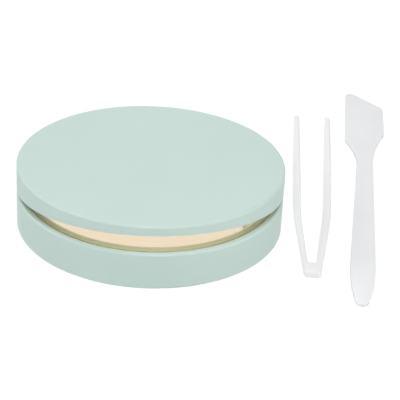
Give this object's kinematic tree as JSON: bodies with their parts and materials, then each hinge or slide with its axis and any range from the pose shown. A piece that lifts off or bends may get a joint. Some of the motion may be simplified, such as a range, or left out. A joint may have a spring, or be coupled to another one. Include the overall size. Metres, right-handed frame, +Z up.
{
  "type": "wet palette",
  "caption": "Round wet palette in a hinged two-tone case with a recessed gold collar and a damp pad under paper inside, lying with plastic tweezers and a spatula.",
  "frame": {"origin": "centre of the case's underside, on the surface it stands on", "axes": "+Z up, -Y towards the thumb grip at the front, +X towards the tools"},
  "size_m": [0.1264, 0.1411, 0.02],
  "materials": {
    "case": "satin moulded, sage mint green",
    "collar": "polished pale gold metallising on plastic",
    "tray": "gloss moulded, white",
    "liner": "gloss moulded, white",
    "sponge": "open cell hydrophilic foam, pale yellow",
    "paper": "thin semi-translucent palette paper",
    "gasket": "translucent silicone",
    "steel": "drawn steel wire",
    "magnet": "nickel plated",
    "tweezers": "satin moulded, white",
    "spatula": "satin moulded, slightly translucent white"
  },
  "bodies": {
    "base": {"base_shell": "case", "collar_ring": "collar", "collar_magnet": "magnet", "hinge_pin": "steel", "water_tray": "tray", "sponge_pad": "sponge", "palette_paper": "paper"},
    "lid": {"lid_shell": "case", "lid_magnet": "magnet", "lid_liner": "liner", "lid_gasket": "gasket"},
    "tweezers": {"tweezers_bridge": "tweezers"},
    "left_arm": {"tweezers_left_arm": "tweezers"},
    "right_arm": {"tweezers_right_arm": "tweezers"},
    "spatula": {"spatula": "spatula"}
  },
  "joints": [
    {"name": "lid_hinge", "type": "hinge", "parent": "base", "child": "lid", "pos_m": [0, 0.0366, 0.0113], "axis": [-1, 0, 0], "range_deg": [0, 110]},
    {"name": "tweezers_lift", "type": "slide", "parent": "base", "child": "tweezers", "axis": [0, 0, 1], "range_m": [0, 0.05]},
    {"name": "left_arm_bend", "type": "hinge", "parent": "tweezers", "child": "left_arm", "pos_m": [0.04436, -0.0259, 0.00075], "axis": [0, 0, -1], "range_deg": [0, 2.4], "stiffness_Nm_per_rad": 0.05},
    {"name": "right_arm_bend", "type": "hinge", "parent": "tweezers", "child": "right_arm", "pos_m": [0.04869, -0.02648, 0.00075], "axis": [0, 0, 1], "range_deg": [0, 2.4], "stiffness_Nm_per_rad": 0.05},
    {"name": "spatula_lift", "type": "slide", "parent": "base", "child": "spatula", "axis": [0, 0, 1], "range_m": [0, 0.05]}
  ],
  "couplings": [
    {"joint": "right_arm_bend", "follows": "left_arm_bend", "ratio": 1}
  ]
}
